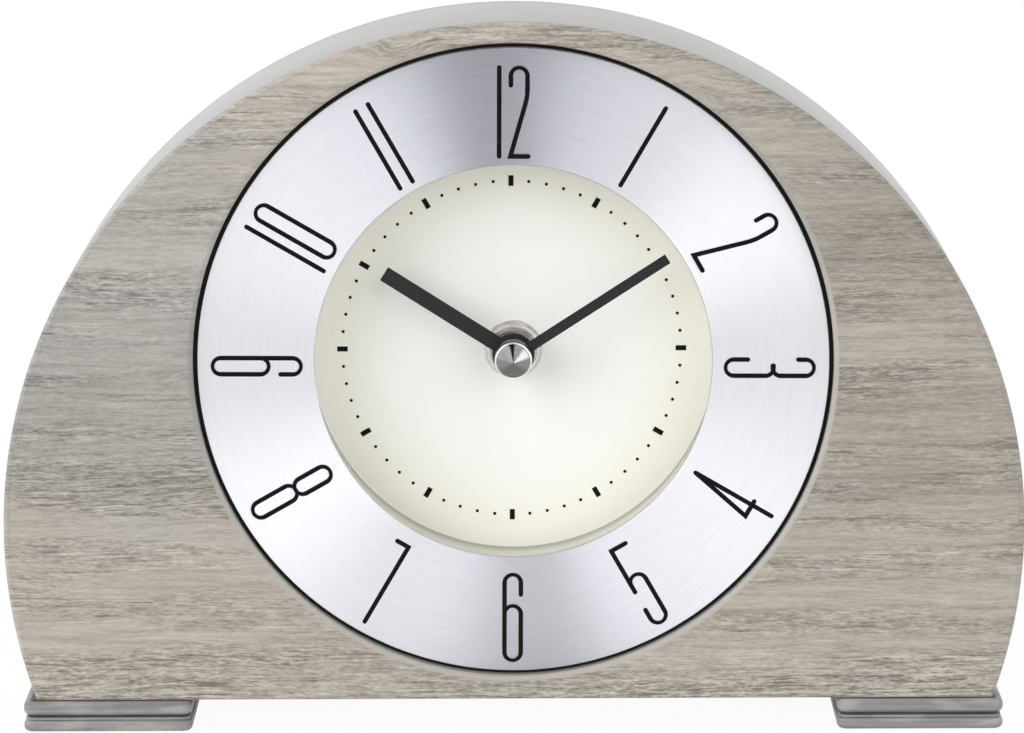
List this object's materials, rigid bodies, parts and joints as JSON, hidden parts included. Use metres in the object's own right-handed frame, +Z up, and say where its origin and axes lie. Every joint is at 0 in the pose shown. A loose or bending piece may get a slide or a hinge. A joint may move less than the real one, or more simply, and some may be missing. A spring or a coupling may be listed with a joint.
{
  "type": "mantel clock",
  "caption": "Arched wooden mantel clock on moulded feet, with a deep recessed dial, a brushed metal numeral ring, flat bar hands and a quartz movement reached from the back.",
  "frame": {"origin": "middle of the feet's soles, on the surface that the clock stands on", "axes": "+Z up, the dial faces -Y, +X to the right of someone who looks at the dial"},
  "size_m": [0.24, 0.053, 0.1678],
  "materials": {
    "grained_face": "grey-washed wood grain, matt lacquer",
    "edge_finish": "smooth pale grey lacquered band",
    "foot_finish": "smooth purplish grey lacquer",
    "raw_board": "bare fibre board",
    "back_board": "dark hardboard, smooth side out",
    "post_wood": "bare beech dowel",
    "screw_steel": "zinc-plated steel",
    "black_frame": "black moulded plastic",
    "cream_plastic": "cream moulded plastic, satin",
    "spun_aluminium": "spun-brushed aluminium",
    "washer_rubber": "black rubber",
    "nickel": "turned, nickel-plated",
    "bushing_brass": "machined brass",
    "hand_black": "black satin paint",
    "housing_plastic": "black moulded plastic",
    "gear_plastic": "natural acetal",
    "arbor_brass": "brass",
    "rotor_finish": "dark magnet on an acetal arbor",
    "motor_iron": "soft iron lamination",
    "winding_copper": "enamelled copper wire",
    "bobbin_plastic": "natural plastic",
    "board_laminate": "brown paper laminate",
    "crystal_can": "tinned can",
    "cell_sleeve": "plain printed sleeve",
    "contact_spring": "nickel-plated spring strip",
    "knob_plastic": "grey moulded plastic"
  },
  "bodies": {
    "case": {"front_board": "grained_face", "edge_band": "edge_finish", "arch_rim": "raw_board", "base_board": "raw_board", "back_panel": "back_board", "back_posts": "post_wood", "back_screws": "screw_steel", "left_foot": "foot_finish", "right_foot": "foot_finish", "foot_screws": "screw_steel", "dial_frame": "black_frame", "frame_screws": "screw_steel", "dial_cup": "cream_plastic", "chapter_ring": "spun_aluminium", "rubber_washer": "washer_rubber", "dial_washer": "nickel", "mounting_nut": "nickel", "threaded_bushing": "bushing_brass", "movement_case": "housing_plastic", "movement_cover": "housing_plastic", "circuit_board": "board_laminate", "quartz_crystal": "crystal_can", "stator": "motor_iron", "coil_core": "motor_iron", "coil_bobbin": "bobbin_plastic", "coil_winding": "winding_copper", "battery": "cell_sleeve", "positive_contact": "contact_spring", "negative_contact": "contact_spring"},
    "minute": {"minute_arbor": "arbor_brass", "minute_hand": "hand_black", "cap_nut": "nickel"},
    "hour": {"hour_wheel": "gear_plastic", "hour_hand": "hand_black"},
    "setting": {"minute_wheel": "gear_plastic", "setting_knob": "knob_plastic"},
    "rotor": {"rotor": "rotor_finish"},
    "intermediate": {"intermediate_wheel": "gear_plastic"},
    "second": {"second_wheel": "gear_plastic"},
    "third": {"third_wheel": "gear_plastic"},
    "centre": {"centre_wheel": "gear_plastic"}
  },
  "joints": [
    {"name": "minute_turn", "type": "hinge", "parent": "case", "child": "minute", "pos_m": [0, 0, 0.0878], "axis": [0, 1, 0], "continuous": true},
    {"name": "hour_turn", "type": "hinge", "parent": "case", "child": "hour", "pos_m": [0, 0, 0.0878], "axis": [0, 1, 0], "continuous": true},
    {"name": "setting_turn", "type": "hinge", "parent": "case", "child": "setting", "pos_m": [-0.01008, 0, 0.0878], "axis": [0, 1, 0], "continuous": true},
    {"name": "rotor_turn", "type": "hinge", "parent": "case", "child": "rotor", "pos_m": [0.0132, 0, 0.09722], "axis": [0, 1, 0], "continuous": true},
    {"name": "intermediate_turn", "type": "hinge", "parent": "case", "child": "intermediate", "pos_m": [0.0087, 0, 0.09186], "axis": [0, 1, 0], "continuous": true},
    {"name": "second_turn", "type": "hinge", "parent": "case", "child": "second", "pos_m": [0, 0, 0.0878], "axis": [0, 1, 0], "continuous": true},
    {"name": "third_turn", "type": "hinge", "parent": "case", "child": "third", "pos_m": [0, 0, 0.09732], "axis": [0, 1, 0], "continuous": true},
    {"name": "centre_turn", "type": "hinge", "parent": "case", "child": "centre", "pos_m": [0, 0, 0.0878], "axis": [0, 1, 0], "continuous": true}
  ],
  "couplings": [
    {"joint": "setting_turn", "follows": "minute_turn", "ratio": -0.33333},
    {"joint": "hour_turn", "follows": "minute_turn", "ratio": 0.083333},
    {"joint": "intermediate_turn", "follows": "rotor_turn", "ratio": -0.16667},
    {"joint": "second_turn", "follows": "rotor_turn", "ratio": 0.033333},
    {"joint": "third_turn", "follows": "rotor_turn", "ratio": -0.0044444},
    {"joint": "centre_turn", "follows": "rotor_turn", "ratio": 0.00055556}
  ]
}
